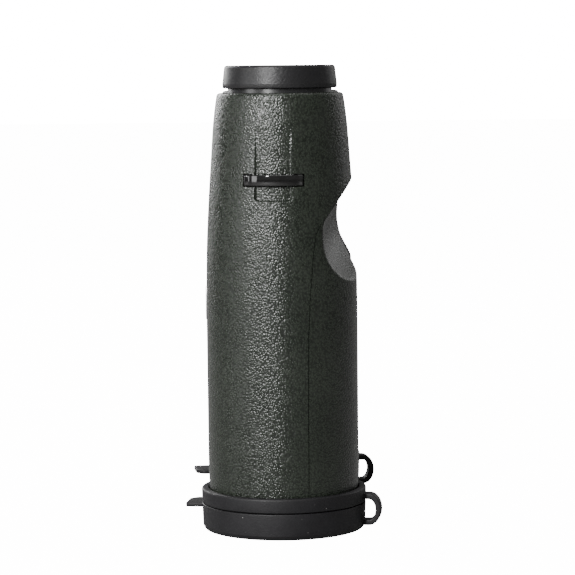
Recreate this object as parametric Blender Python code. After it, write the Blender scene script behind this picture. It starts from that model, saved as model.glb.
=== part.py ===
"""Hand-held roof-prism binoculars, standing on their two objective covers.

Metres, +Z up. The eyepieces are at the top. -X is the side with the focus wheel, +X is
the side with the thumb recesses. The left barrel is at -Y and the right barrel at +Y.
"""

import math

import bmesh
import bpy
from mathutils import Matrix, Vector

# Overall layout
SPACING = 0.075
FOLD_X = -0.011
SIDE_SIGN = {"left": -1, "right": 1}
GAP = 0.0003

# Round pieces
BARREL_SIDES = 30
TUBE_SIDES = 24
SMALL_SIDES = 16

# Armour: outer radius at each height, then inner radius
ARMOUR_FOOT = 0.0030
ARMOUR_TOP = 0.1459
ARMOUR_OUTER = [
    (0.0030, 0.0246),
    (0.0086, 0.0248),
    (0.0150, 0.0250),
    (0.0210, 0.0251),
    (0.0780, 0.0251),
    (0.1060, 0.0243),
    (0.1200, 0.0234),
    (0.1340, 0.0221),
    (0.1450, 0.0205),
    (0.1459, 0.0199),
]
ARMOUR_INNER = [
    (0.0030, 0.0232),
    (0.0840, 0.0231),
    (0.0990, 0.0213),
    (0.1280, 0.0194),
    (0.1340, 0.0187),
    (0.1459, 0.0187),
]
WALL = 0.0013
HOUSING_FOOT = 0.0036
HOUSING_TOP = 0.1445
SHELF_LOW = 0.1275
SHELF_HIGH = 0.1325
SHELF_BORE = 0.0152
EYEPIECE_BORE = 0.0176

# Thumb recess: an ellipsoid scooped out of each barrel, ending in a flat wall at the top
RECESS_CENTRE = (0.0699, -0.0520, 0.1179)
RECESS_HALF_AXES = (0.0595, 0.1034, 0.0337)
RECESS_TURN = 11.6
RECESS_LEAN = 32.3
RECESS_TOP = (0.0174, 0.1093)
RECESS_TOP_ANGLE = 53.8

# Seam between the outer wrap and the inner panel, as directions round the barrel
SEAM_FRONT = -70.5
SEAM_BACK = 86.0
SEAM_LEVELS = [(0.0, 0.0), (0.0600, 0.0), (0.0800, 0.0011), (0.0930, 0.0023), (0.1000, 0.0036), (0.1034, 0.0056)]

# Strap lug
LUG_TURN = -96.0
LUG_HEIGHT = 0.1177
LUG_WIDTH = 0.0194
LUG_DEPTH = 0.0036
LUG_SLOT = 0.0124
CHANNEL_LOW = 0.1111
CHANNEL_HIGH = 0.1345

# Bridge: heights of the hinge knuckles on each barrel
KNUCKLE = 0.0085
WEB_WIDTH = 0.0120
UPPER_KNUCKLES = {
    "left": [(0.1000, 0.1120), (0.1246, 0.1285)],
    "right": [(0.1123, 0.1243)],
}
CHANNELS = {"left": (0.1015, 0.1105), "right": (0.1138, 0.1228)}
LOWER_KNUCKLES = {
    "left": [(0.0240, 0.0310), (0.0410, 0.0480)],
    "right": [(0.0313, 0.0407)],
}
LOWER_WEB = (0.0240, 0.0480)
PIN = 0.0030
SLEEVE = 0.0061
ARM_HEIGHT = {"left": 0.1060, "right": 0.1183}

# Objective covers
COVER_TURN = -8.0
COVER_RING = (0.0091, 0.0139)
COVER_OUTER = 0.0276
COVER_BORE = 0.0253
CAP_TOP = 0.0088
LOOP_WIDTH = 0.0055
LOOP_CENTRE = (0.0290, 0.0065)
LOOP_OUTER = (0.0040, 0.0054)
LOOP_INNER = (0.0022, 0.0034)


def clear_scene():
    for old in list(bpy.data.objects):
        bpy.data.objects.remove(old, do_unlink=True)


def add_object(name, bm):
    bmesh.ops.recalc_face_normals(bm, faces=bm.faces)
    mesh = bpy.data.meshes.new(name)
    bm.to_mesh(mesh)
    bm.free()
    made = bpy.data.objects.new(name, mesh)
    bpy.context.collection.objects.link(made)
    return made


def turned(name, outline, sides=TUBE_SIDES):
    """A round solid from a closed outline of (radius, height) points."""
    bm = bmesh.new()
    rings = []
    for radius, height in outline:
        if radius < 1e-7:
            rings.append([bm.verts.new((0, 0, height))])
            continue
        ring = []
        for k in range(sides):
            angle = math.tau * (k + 0.5) / sides
            ring.append(bm.verts.new((radius * math.cos(angle), radius * math.sin(angle), height)))
        rings.append(ring)
    for i, low in enumerate(rings):
        high = rings[(i + 1) % len(rings)]
        for k in range(sides):
            n = (k + 1) % sides
            if len(low) == 1 and len(high) == 1:
                break
            if len(low) == 1:
                bm.faces.new((low[0], high[n], high[k]))
            elif len(high) == 1:
                bm.faces.new((low[k], low[n], high[0]))
            else:
                bm.faces.new((low[k], low[n], high[n], high[k]))
    return add_object(name, bm)


def loft(name, *polygons):
    """A solid through matching polygons of 3-D points, from the lowest to the highest."""
    bm = bmesh.new()
    rings = [[bm.verts.new(p) for p in polygon] for polygon in polygons]
    bm.faces.new(rings[0])
    bm.faces.new(rings[-1])
    for bottom, top in zip(rings, rings[1:]):
        for k in range(len(bottom)):
            n = (k + 1) % len(bottom)
            bm.faces.new((bottom[k], bottom[n], top[n], top[k]))
    return add_object(name, bm)


def prism(name, outline, low, high):
    """A flat outline of (x, y) points raised between two heights."""
    return loft(name, [(x, y, low) for x, y in outline], [(x, y, high) for x, y in outline])


def upright(name, outline, width):
    """A flat outline of (x, z) points, as wide as given along y."""
    half = width / 2
    return loft(name, [(x, -half, z) for x, z in outline], [(x, half, z) for x, z in outline])


def block(name, x, y, z):
    """A box between two values on each axis."""
    return prism(name, [(x[0], y[0]), (x[1], y[0]), (x[1], y[1]), (x[0], y[1])], z[0], z[1])


def cylinder(name, radius, low, high, sides=TUBE_SIDES):
    return turned(name, [(0, low), (radius, low), (radius, high), (0, high)], sides)


def ring(name, outer, inner, low, high, sides=TUBE_SIDES):
    return turned(name, [(inner, low), (outer, low), (outer, high), (inner, high)], sides)


def move(piece, matrix):
    piece.data.transform(matrix)
    if matrix.to_3x3().determinant() < 0:
        piece.data.flip_normals()
    return piece


def turn(piece, degrees):
    return move(piece, Matrix.Rotation(math.radians(degrees), 4, "Z"))


def shift(piece, x=0.0, y=0.0, z=0.0):
    return move(piece, Matrix.Translation((x, y, z)))


def combine(piece, tool, how):
    """Cut, join or keep the common part, then drop the tool."""
    step = piece.modifiers.new(how, "BOOLEAN")
    step.operation = how
    step.solver = "EXACT"
    step.object = tool
    bpy.context.view_layer.update()
    graph = bpy.context.evaluated_depsgraph_get()
    result = bpy.data.meshes.new_from_object(piece.evaluated_get(graph))
    piece.modifiers.clear()
    old = piece.data
    piece.data = result
    result.name = piece.name
    bpy.data.meshes.remove(old)
    bpy.data.objects.remove(tool, do_unlink=True)
    tidy = bmesh.new()
    tidy.from_mesh(result)
    bmesh.ops.remove_doubles(tidy, verts=tidy.verts, dist=1e-6)
    bmesh.ops.dissolve_degenerate(tidy, edges=tidy.edges, dist=1e-7)
    tidy.to_mesh(result)
    tidy.free()
    return piece


def cut(piece, tool):
    return combine(piece, tool, "DIFFERENCE")


def join(piece, tool):
    return combine(piece, tool, "UNION")


def keep(piece, tool):
    return combine(piece, tool, "INTERSECT")


def finish(piece, colour, roughness, metallic=0.0, smooth=40.0):
    material = bpy.data.materials.new(piece.name + "_finish")
    material.use_nodes = True
    shader = material.node_tree.nodes["Principled BSDF"]
    shader.inputs["Base Color"].default_value = (*colour, 1.0)
    shader.inputs["Roughness"].default_value = roughness
    shader.inputs["Metallic"].default_value = metallic
    piece.data.materials.clear()
    piece.data.materials.append(material)
    piece.data.shade_smooth()
    piece.data.set_sharp_from_angle(angle=math.radians(smooth))
    return piece


def place(piece, side, origin=(0.0, 0.0, 0.0)):
    """Put a piece modelled round the left barrel's axis where it belongs."""
    shift(piece, -origin[0], -origin[1], -origin[2])
    sign = SIDE_SIGN[side]
    if sign > 0:
        move(piece, Matrix.Scale(-1, 4, (0, 1, 0)))
    piece.location = (origin[0], sign * (SPACING / 2 - origin[1]), origin[2])
    if side == "right":
        piece.parent = right_frame
        piece.location.x -= FOLD_X
    return piece


GREEN = (0.030, 0.045, 0.034)
BLACK_RUBBER = (0.022, 0.021, 0.022)
BLACK_PAINT = (0.018, 0.019, 0.018)
DARK_METAL = (0.045, 0.046, 0.048)
STEEL = (0.55, 0.55, 0.56)
BRASS = (0.62, 0.46, 0.22)
GLASS = (0.62, 0.72, 0.70)

clear_scene()
right_frame = bpy.data.objects.new("right_barrel_frame", None)
right_frame.location = (FOLD_X, 0, 0)
bpy.context.collection.objects.link(right_frame)
bpy.context.view_layer.update()

# The fold axis as seen from the left barrel's own axis
FOLD = Vector((FOLD_X, SPACING / 2, 0))
REACH = FOLD.length
WEB_TURN = math.degrees(math.atan2(FOLD.y, FOLD.x))


def solid_body(name, stations, low, high, inset=0.0):
    """A filled round body through the stations, trimmed to low and high."""
    outline = [(0, low)]
    for height, radius in stations:
        outline.append((radius - inset, min(max(height, low), high)))
    outline.append((0, high))
    return turned(name, outline, BARREL_SIDES)


def recess(name, grow=0.0):
    """The scoop of the thumb recess, grown evenly for the layers below it."""
    bm = bmesh.new()
    bmesh.ops.create_uvsphere(bm, u_segments=36, v_segments=22, radius=1.0)
    scoop = add_object(name, bm)
    a = math.radians(RECESS_TURN)
    b = math.radians(RECESS_LEAN)
    axes = Matrix((
        (math.cos(a) * math.cos(b), -math.sin(a), -math.cos(a) * math.sin(b)),
        (math.sin(a) * math.cos(b), math.cos(a), -math.sin(a) * math.sin(b)),
        (math.sin(b), 0.0, math.cos(b)),
    ))
    size = Matrix.Diagonal([half + grow for half in RECESS_HALF_AXES])
    move(scoop, (axes @ size).to_4x4())
    shift(scoop, *RECESS_CENTRE)
    below = block("below", (-0.3, 0.3), (-0.3, 0.3), (-0.3, grow))
    move(below, Matrix.Rotation(math.radians(-RECESS_TOP_ANGLE), 4, "Y"))
    return keep(scoop, shift(below, RECESS_TOP[0], 0.0, RECESS_TOP[1]))


def web(name, width, start, low, high, end=REACH):
    """A straight arm from the barrel wall to the fold axis."""
    return turn(block(name, (start, end), (-width / 2, width / 2), (low, high)), WEB_TURN)


def at_fold(piece):
    return shift(piece, FOLD.x, FOLD.y)


def radius_at(stations, height):
    for (z0, r0), (z1, r1) in zip(stations, stations[1:]):
        if z0 <= height <= z1:
            return r0 + (r1 - r0) * (height - z0) / (z1 - z0)
    return stations[-1][1]


def web_levels(side):
    levels = [(low, high, True) for low, high in UPPER_KNUCKLES[side]]
    levels.append((*LOWER_WEB, False))
    return levels


def seam_wedge(name, slack):
    """The part of the armour that the inner panel takes, a wedge leaning with the seam."""
    corners = [(0.0, 0.0)]
    for degrees in (SEAM_FRONT, -30.0, 30.0, SEAM_BACK):
        a = math.radians(degrees)
        corners.append((0.060 * math.cos(a), 0.060 * math.sin(a)))
    middle = math.radians((SEAM_FRONT + SEAM_BACK) / 2)
    lean = math.radians(SEAM_FRONT + 90)
    rings = []
    for height, drift in SEAM_LEVELS:
        x0 = drift * math.cos(lean) - slack * math.cos(middle)
        y0 = drift * math.sin(lean) - slack * math.sin(middle)
        rings.append([(x + x0, y + y0, height) for x, y in corners])
    rings[-1] = [(x, y, z + slack) for x, y, z in rings[-1]]
    return loft(name, *rings)


def barrel_armour(side):
    """The rubber armour as an outer wrap and an inner panel."""
    shells = []
    for part in ("wrap", "panel"):
        shell = solid_body("armour_" + part + "_" + side, ARMOUR_OUTER, ARMOUR_FOOT, ARMOUR_TOP)
        cut(shell, recess("scoop"))
        core = solid_body("core", ARMOUR_INNER, ARMOUR_FOOT - 0.001, ARMOUR_TOP + 0.001)
        cut(core, recess("scoop", 0.0028))
        cut(shell, core)
        shells.append(shell)
    wrap, panel = shells
    cut(wrap, seam_wedge("wedge", GAP))
    cut(wrap, recess("scoop", 0.0012 + GAP))
    region = join(seam_wedge("wedge", 0.0), recess("scoop", 0.0012))
    keep(panel, region)
    channel = loft(
        "channel",
        [(0.0207, -LUG_SLOT / 2, CHANNEL_LOW), (0.03, -LUG_SLOT / 2, CHANNEL_LOW),
         (0.03, LUG_SLOT / 2, CHANNEL_LOW), (0.0207, LUG_SLOT / 2, CHANNEL_LOW)],
        [(0.0224, -LUG_SLOT / 2, CHANNEL_HIGH), (0.03, -LUG_SLOT / 2, CHANNEL_HIGH),
         (0.03, LUG_SLOT / 2, CHANNEL_HIGH), (0.0224, LUG_SLOT / 2, CHANNEL_HIGH)],
    )
    cut(wrap, turn(channel, LUG_TURN))
    half = LUG_WIDTH / 2 + GAP
    tall = LUG_DEPTH / 2 + GAP
    bed = block("bed", (0.0217, 0.03), (-half, half), (LUG_HEIGHT - tall, LUG_HEIGHT + tall))
    cut(wrap, turn(bed, LUG_TURN))
    for sign in (-1, 1):
        ends = sorted((sign * half, sign * 0.0068))
        pocket = block("pocket", (0.0192, 0.03), ends, (LUG_HEIGHT - tall, LUG_HEIGHT + tall))
        cut(wrap, turn(pocket, LUG_TURN))
    for low, high, upper in web_levels(side):
        cut(wrap, web("slot", WEB_WIDTH + 2 * GAP, 0.015, low - GAP, high + GAP, 0.030))
    plate_bed = block("bed", (0.0247, 0.03), (-0.0032, 0.0032), (0.0703, 0.0819))
    if side == "left":
        cut(wrap, turn(plate_bed, 178.0))
    else:
        bpy.data.objects.remove(plate_bed, do_unlink=True)
    return wrap, panel


def barrel_housing(side):
    """The cast metal tube with its hinge knuckles and the bridge arms."""
    housing = solid_body("housing_" + side, ARMOUR_INNER, HOUSING_FOOT, HOUSING_TOP, GAP)
    cut(housing, recess("scoop", 0.0031))
    for low, high, upper in web_levels(side):
        middle = (low + high) / 2
        start = radius_at(ARMOUR_INNER, middle) - GAP - 0.0011
        start = math.sqrt(start**2 - (WEB_WIDTH / 2) ** 2) + 0.0002
        join(housing, web("arm", WEB_WIDTH, start, low, high, REACH))
        if upper:
            join(housing, at_fold(cylinder("knuckle", KNUCKLE, low, high, 20)))
    other = "right" if side == "left" else "left"
    for low, high in LOWER_KNUCKLES[side]:
        join(housing, at_fold(cylinder("knuckle", KNUCKLE, low, high, 20)))
    for low, high in LOWER_KNUCKLES[other]:
        clear = cylinder("clear", KNUCKLE + 0.0004, low - GAP, high + GAP, 20)
        cut(housing, at_fold(clear))
    if side == "right":
        low, high = LOWER_WEB
        for a, b in ((low - 0.001, LOWER_KNUCKLES["right"][0][0]), (LOWER_KNUCKLES["right"][0][1], high + 0.001)):
            cut(housing, at_fold(cylinder("clear", KNUCKLE + 0.0004, a, b, 20)))
    cut(housing, at_fold(cylinder("bore", PIN + GAP, 0.015, 0.060, SMALL_SIDES)))
    wall = [(height, radius) for height, radius in ARMOUR_INNER if height < SHELF_LOW]
    wall.append((SHELF_LOW, radius_at(ARMOUR_INNER, SHELF_LOW)))
    bore = solid_body("bore", wall, HOUSING_FOOT - 0.001, SHELF_LOW, GAP + WALL)
    cut(bore, recess("scoop", 0.0044))
    cut(housing, bore)
    cut(housing, cylinder("bore", SHELF_BORE, SHELF_LOW - 0.001, SHELF_HIGH + 0.001, BARREL_SIDES))
    cut(housing, cylinder("bore", EYEPIECE_BORE, SHELF_HIGH, HOUSING_TOP + 0.001, BARREL_SIDES))
    low, high = CHANNELS[side]
    cut(housing, web("channel", 0.0064, 0.0150, low, high, REACH))
    top = UPPER_KNUCKLES[side][0][1] + 0.0005
    bottom = UPPER_KNUCKLES[side][0][0] - 0.0005
    cut(housing, at_fold(cylinder("bore", SLEEVE + GAP, bottom, top, 20)))
    if side == "left":
        cut(housing, at_fold(cylinder("bore", 0.0022, 0.1200, 0.1300, SMALL_SIDES)))
    return housing


def lens(name, radius, low, high, bulge_low, bulge_high, sides=20):
    """A glass disc with two domed faces."""
    outline = [(0, low - bulge_low)]
    outline.append((radius * 0.55, low - bulge_low * 0.70))
    outline.append((radius, low))
    outline.append((radius, high))
    outline.append((radius * 0.55, high + bulge_high * 0.70))
    outline.append((0, high + bulge_high))
    return turned(name, outline, sides)


def half_loop(name, sign):
    """Half of the rubber loop that ties a cap to its ring, split at the outermost point."""
    steps = 7
    outline = []
    inner = []
    cx, cz = LOOP_CENTRE
    for k in range(steps):
        angle = math.radians(90 - 88 * k / (steps - 1))
        c = math.cos(angle)
        s = math.sin(angle)
        outer_z = max(LOOP_OUTER[1] * s, GAP / 2)
        inner_z = max(LOOP_INNER[1] * s, GAP / 2)
        outline.append((cx + LOOP_OUTER[0] * c, cz + sign * outer_z))
        inner.append((cx + LOOP_INNER[0] * c, cz + sign * inner_z))
    foot = 0.0265 if sign > 0 else 0.0258
    outline = [(foot, cz + sign * LOOP_OUTER[1])] + outline
    inner = [(foot, cz + sign * LOOP_INNER[1])] + inner
    half = upright(name, outline + inner[::-1], LOOP_WIDTH)
    return turn(half, COVER_TURN)


def pull_tab(name):
    """The flat grip opposite the loop, with one corner cut away."""
    outline = [
        (0.0262, -0.0060),
        (0.0319, -0.0060),
        (0.0327, -0.0052),
        (0.0327, 0.0022),
        (0.0316, 0.0048),
        (0.0300, 0.0060),
        (0.0262, 0.0060),
    ]
    tab = prism(name, outline, 0.0072, 0.0086)
    return turn(move(tab, Matrix.Scale(-1, 4, (0, 1, 0))), COVER_TURN + 180)


def strap_bar(side):
    """The bowed bar that the neck strap threads behind, with two square feet."""
    outer = []
    inner = []
    steps = 10
    half = LUG_WIDTH / 2
    for k in range(steps + 1):
        t = -1 + 2 * k / steps
        outer.append((0.0221 + 0.0031 * (1 - t * t), half * t))
    slot = LUG_SLOT / 2 + 0.0008
    for k in range(steps + 1):
        t = 1 - 2 * k / steps
        inner.append((0.0221 + 0.0011 * (1 - t * t), slot * t))
    outline = outer + [(0.0196, half), (0.0196, slot)] + inner + [(0.0196, -slot), (0.0196, -half)]
    bar = prism("strap_bar_" + side, outline, LUG_HEIGHT - LUG_DEPTH / 2, LUG_HEIGHT + LUG_DEPTH / 2)
    return turn(bar, LUG_TURN)


def focus_arm(side):
    """Lens ring, rod, and the arm whose eye rides on the focus nut."""
    z = ARM_HEIGHT[side]
    name = "focus_carrier_" + side
    carrier = ring(name, 0.0174, 0.0153, 0.0735, 0.0795, TUBE_SIDES)
    rod = cylinder("rod", 0.0012, 0.0770, z + 0.0010, 12)
    join(carrier, turn(shift(rod, 0.0163), WEB_TURN))
    join(carrier, web("arm", 0.0040, 0.0155, z - 0.0015, z + 0.0015, REACH - 0.0042))
    join(carrier, at_fold(cylinder("eye", 0.0049, z - 0.0015, z + 0.0015, 16)))
    cut(carrier, at_fold(cylinder("eye_bore", 0.0037, z - 0.003, z + 0.003, 16)))
    return carrier


def prisms(side):
    """The two prisms of a roof system and the frame that holds them."""
    frame = cylinder("prism_frame_" + side, 0.0142, 0.0880, 0.1222, TUBE_SIDES)
    cut(frame, block("flat", (0.0094, 0.02), (-0.02, 0.02), (0.08, 0.13)))
    cut(frame, block("well", (-0.0098, 0.0084), (-0.0093, 0.0093), (0.08, 0.13)))
    lower = upright(
        "prism_lower_" + side,
        [(-0.0095, 0.0890), (0.0050, 0.0890), (0.0081, 0.0920), (0.0081, 0.1012), (-0.0095, 0.1055)],
        0.0170,
    )
    upper = upright(
        "prism_roof_" + side,
        [(-0.0095, 0.1060), (0.0081, 0.1017), (0.0081, 0.1205), (-0.0060, 0.1205), (-0.0095, 0.1165)],
        0.0170,
    )
    return frame, lower, upper


for SIDE in ("left", "right"):
    WRAP, PANEL = barrel_armour(SIDE)
    place(finish(WRAP, GREEN, 0.62), SIDE)
    place(finish(PANEL, GREEN, 0.66), SIDE)
    place(finish(barrel_housing(SIDE), DARK_METAL, 0.45, 0.6), SIDE)

    CELL = turned("objective_cell_" + SIDE, [
        (0.0188, 0.0080), (0.0215, 0.0080), (0.0215, 0.0240), (0.0200, 0.0240),
        (0.0200, 0.0232), (0.0206, 0.0232), (0.0206, 0.0110), (0.0188, 0.0098),
    ], BARREL_SIDES)
    place(finish(CELL, BLACK_PAINT, 0.5, 0.5), SIDE)
    FRONT = lens("objective_front_" + SIDE, 0.0203, 0.0128, 0.0160, 0.0014, 0.0010)
    place(finish(FRONT, GLASS, 0.03), SIDE)
    REAR = turned("objective_rear_" + SIDE, [
        (0, 0.0176), (0.0112, 0.0173), (0.0203, 0.0165), (0.0203, 0.0206), (0, 0.0206),
    ], 20)
    place(finish(REAR, GLASS, 0.03), SIDE)

    place(finish(focus_arm(SIDE), BRASS, 0.4, 0.8), SIDE)
    FOCUS_CELL = ring("focus_cell_" + SIDE, 0.0150, 0.0132, 0.0740, 0.0790)
    place(finish(FOCUS_CELL, BLACK_PAINT, 0.45, 0.6), SIDE)
    FOCUS_LENS = lens("focus_lens_" + SIDE, 0.0129, 0.0750, 0.0774, -0.0006, -0.0006)
    place(finish(FOCUS_LENS, GLASS, 0.03), SIDE)

    FRAME, LOWER, ROOF = prisms(SIDE)
    place(finish(FRAME, BLACK_PAINT, 0.5, 0.5), SIDE)
    place(finish(LOWER, GLASS, 0.03, 0.0, 20.0), SIDE)
    place(finish(ROOF, GLASS, 0.03, 0.0, 20.0), SIDE)

    TUBE = turned("eyepiece_tube_" + SIDE, [
        (0.0113, 0.1240), (0.0149, 0.1240), (0.0149, 0.1328), (0.0169, 0.1328),
        (0.0169, 0.1341), (0.0149, 0.1341), (0.0149, 0.1480), (0.0125, 0.1480),
        (0.0125, 0.1432), (0.0113, 0.1432),
    ])
    place(finish(TUBE, BLACK_PAINT, 0.45, 0.5), SIDE)
    place(finish(lens("field_lens_" + SIDE, 0.0110, 0.1252, 0.1282, 0.0008, 0.0012), GLASS, 0.03), SIDE)
    place(finish(lens("eye_lens_" + SIDE, 0.0122, 0.1437, 0.1462, 0.0004, 0.0014), GLASS, 0.03), SIDE)

    GLIDE = ring("eyecup_glide_" + SIDE, 0.0160, 0.0152, 0.1348, 0.1386)
    place(finish(GLIDE, BRASS, 0.4, 0.7), SIDE)
    CUP = turned("eyecup_sleeve_" + SIDE, [
        (0.0163, 0.1346), (0.0173, 0.1346), (0.0173, 0.1486), (0.0165, 0.1490), (0.0165, 0.1535),
        (0.0153, 0.1535), (0.0153, 0.1392), (0.0163, 0.1392),
    ], BARREL_SIDES)
    place(finish(CUP, BLACK_PAINT, 0.3, 0.0), SIDE)
    RUBBER = turned("eyecup_rubber_" + SIDE, [
        (0.0176, 0.1475), (0.0189, 0.1478), (0.0181, 0.1542), (0.0174, 0.1550),
        (0.0144, 0.1550), (0.0138, 0.1538), (0.0168, 0.1538), (0.0168, 0.1492),
        (0.0176, 0.1488),
    ], BARREL_SIDES)
    place(finish(RUBBER, BLACK_RUBBER, 0.75), SIDE)

    place(finish(strap_bar(SIDE), BLACK_PAINT, 0.18, 0.6), SIDE)

    LOW, HIGH = COVER_RING
    BAND = turned("cover_ring_" + SIDE, [
        (COVER_BORE, LOW), (COVER_OUTER, LOW), (COVER_OUTER, HIGH - 0.0007), (COVER_OUTER - 0.0006, HIGH),
        (COVER_BORE, HIGH),
    ], BARREL_SIDES)
    join(BAND, half_loop("loop", 1))
    place(finish(BAND, BLACK_RUBBER, 0.6), SIDE)
    CAP = turned("cover_cap_" + SIDE, [
        (0, 0), (0.0252, 0), (0.0264, 0.0007), (0.0269, 0.0020), (0.0275, CAP_TOP),
        (0.0255, CAP_TOP), (0.0255, 0.0024), (0, 0.0024),
    ], BARREL_SIDES)
    join(CAP, half_loop("loop", -1))
    join(CAP, pull_tab("tab"))
    A = math.radians(COVER_TURN)
    R = LOOP_CENTRE[0] + LOOP_OUTER[0]
    place(finish(CAP, BLACK_RUBBER, 0.6), SIDE, (R * math.cos(A), R * math.sin(A), LOOP_CENTRE[1]))

# The plain plate on the left barrel
PLATE = block("badge_plate", (0.0249, 0.0254), (-0.0029, 0.0029), (0.0706, 0.0816))
place(finish(turn(PLATE, 178.0), DARK_METAL, 0.3, 0.9), "left")


def on_fold_axis(piece):
    piece.location = (FOLD_X, 0, 0)
    return piece


# Centre: hinge sleeve, pin and end cap
HINGE_SLEEVE = turned("hinge_sleeve", [
    (0.0020, 0.0977), (0.0076, 0.0977), (0.0076, 0.0997), (SLEEVE, 0.0997), (SLEEVE, 0.1243),
    (0.0052, 0.1243), (0.0052, 0.0993), (0.0020, 0.0993),
], 20)
LOW, HIGH = CHANNELS["left"]
WINDOW = block("window", (0.0, 0.008), (-0.0026, 0.0026), (LOW, HIGH))
cut(HINGE_SLEEVE, turn(WINDOW, WEB_TURN + 180))
LOW, HIGH = CHANNELS["right"]
cut(HINGE_SLEEVE, block("window", (-0.0019, 0.008), (-0.0006, 0.008), (LOW, HIGH)))
on_fold_axis(finish(HINGE_SLEEVE, BRASS, 0.4, 0.8))
HINGE_PIN = cylinder("hinge_pin", PIN, 0.0239, 0.0486, SMALL_SIDES)
on_fold_axis(finish(HINGE_PIN, STEEL, 0.3, 1.0))
END_CAP = turned("hinge_end_cap", [
    (0, 0.0190), (0.0060, 0.0190), (0.0070, 0.0198), (0.0070, 0.0236), (0, 0.0236),
], 20)
on_fold_axis(finish(END_CAP, BLACK_PAINT, 0.5, 0.2))

# Focus drive
SPINDLE = cylinder("focus_spindle", 0.0016, 0.0996, 0.1425, 16)
on_fold_axis(finish(SPINDLE, STEEL, 0.25, 1.0))
NUT = turned("focus_nut", [
    (0.0019, 0.1026), (0.0047, 0.1026), (0.0047, 0.1042), (0.0034, 0.1042), (0.0034, 0.1078),
    (0.0047, 0.1078), (0.0047, 0.1165), (0.0034, 0.1165), (0.0034, 0.1201), (0.0047, 0.1201),
    (0.0047, 0.1217), (0.0019, 0.1217),
], 16)
on_fold_axis(finish(NUT, BRASS, 0.35, 0.9))
WHEEL = turned("focus_wheel", [
    (0.0019, 0.1290), (0.0096, 0.1290), (0.0102, 0.1296), (0.0102, 0.1303), (0.0092, 0.1303),
    (0.0092, 0.1412), (0.0102, 0.1412), (0.0102, 0.1422), (0.0096, 0.1428), (0.0019, 0.1428),
])
on_fold_axis(finish(WHEEL, BLACK_PAINT, 0.35, 0.4))
RIBS = []
RIB_COUNT = 24
for K in range(RIB_COUNT * 2):
    RADIUS = 0.0110 if K % 2 else 0.0104
    for STEP in (-0.3, 0.3):
        ANGLE = math.tau * (K + STEP) / (RIB_COUNT * 2)
        RIBS.append((RADIUS * math.cos(ANGLE), RADIUS * math.sin(ANGLE)))
GRIP = prism("focus_wheel_grip", RIBS, 0.1306, 0.1409)
cut(GRIP, cylinder("bore", 0.0095, 0.12, 0.15))
on_fold_axis(finish(GRIP, BLACK_RUBBER, 0.7, 0.0, 25.0))
DIAL_RIBS = []
for K in range(36):
    RADIUS = 0.0084 if K % 2 else 0.0080
    ANGLE = math.tau * K / 36
    DIAL_RIBS.append((RADIUS * math.cos(ANGLE), RADIUS * math.sin(ANGLE)))
DIAL = prism("dioptre_dial", DIAL_RIBS, 0.1431, 0.1458)
on_fold_axis(finish(DIAL, BLACK_PAINT, 0.4, 0.3, 15.0))
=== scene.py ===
# Hand-held roof-prism binoculars in green rubber armour, stood upright on their two closed
# objective covers. Metres, +Z up: eyepieces at the top, focus wheel side at -X, thumb
# recesses at +X, left barrel at -Y and right barrel at +Y.

import math

import bmesh
import bpy
import numpy as np
from mathutils import Matrix, Vector


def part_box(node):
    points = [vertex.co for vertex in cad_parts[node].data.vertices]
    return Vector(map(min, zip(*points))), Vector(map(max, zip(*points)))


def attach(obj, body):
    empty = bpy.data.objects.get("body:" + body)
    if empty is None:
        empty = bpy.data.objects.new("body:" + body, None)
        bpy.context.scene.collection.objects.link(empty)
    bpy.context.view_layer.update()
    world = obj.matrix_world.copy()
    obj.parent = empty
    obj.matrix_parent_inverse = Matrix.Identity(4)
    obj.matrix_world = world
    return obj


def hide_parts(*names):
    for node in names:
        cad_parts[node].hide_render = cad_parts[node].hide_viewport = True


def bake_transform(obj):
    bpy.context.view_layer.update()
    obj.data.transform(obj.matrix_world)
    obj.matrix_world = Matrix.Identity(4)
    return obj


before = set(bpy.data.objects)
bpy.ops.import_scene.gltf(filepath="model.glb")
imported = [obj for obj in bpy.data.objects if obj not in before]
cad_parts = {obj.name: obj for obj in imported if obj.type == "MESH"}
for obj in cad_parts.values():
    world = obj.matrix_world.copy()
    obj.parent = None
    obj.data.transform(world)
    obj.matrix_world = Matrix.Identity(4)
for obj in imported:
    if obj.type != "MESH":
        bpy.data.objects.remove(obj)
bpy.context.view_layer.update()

# ---------------------------------------------------------------------------
# The viewpoint: a long lens set low in front of the left barrel, level with the
# eyecups and tipped down a little, so that the right barrel hides behind the left.
# ---------------------------------------------------------------------------
left_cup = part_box("eyecup_rubber_left")
barrel_y = (left_cup[0][1] + left_cup[1][1]) / 2
top_z = left_cup[1][2]

VIEW_AWAY = 0.825
VIEW_SIDE = 0.0019
VIEW_PITCH = 5.14
VIEW_ROLL = -0.6
camera = bpy.data.objects.new("viewpoint", bpy.data.cameras.new("viewpoint"))
bpy.context.collection.objects.link(camera)
camera.data.sensor_width = 36.0
camera.data.lens = 155.0
camera.data.clip_start = 0.05
pitch = Matrix.Rotation(math.radians(90 - VIEW_PITCH), 4, "X")
roll = Matrix.Rotation(math.radians(VIEW_ROLL), 4, "Z")
camera.matrix_world = Matrix.Translation((VIEW_SIDE, barrel_y - VIEW_AWAY, top_z)) @ pitch @ roll
bpy.context.scene.camera = camera

# ---------------------------------------------------------------------------
# The studio: a white table of lit paper in white air, with soft boxes. A tall narrow box
# stands high beside the viewpoint and draws the long highlight down the barrel.
# ---------------------------------------------------------------------------
def seen_white(tree, dim, strength):
    """Let what is seen be bright while what lights the object stays dim."""
    ray = tree.nodes.new("ShaderNodeLightPath").outputs["Is Camera Ray"]
    level = tree.nodes.new("ShaderNodeMapRange")
    level.inputs["To Min"].default_value = dim
    level.inputs["To Max"].default_value = strength
    tree.links.new(ray, level.inputs["Value"])
    return level.outputs["Result"]


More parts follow.
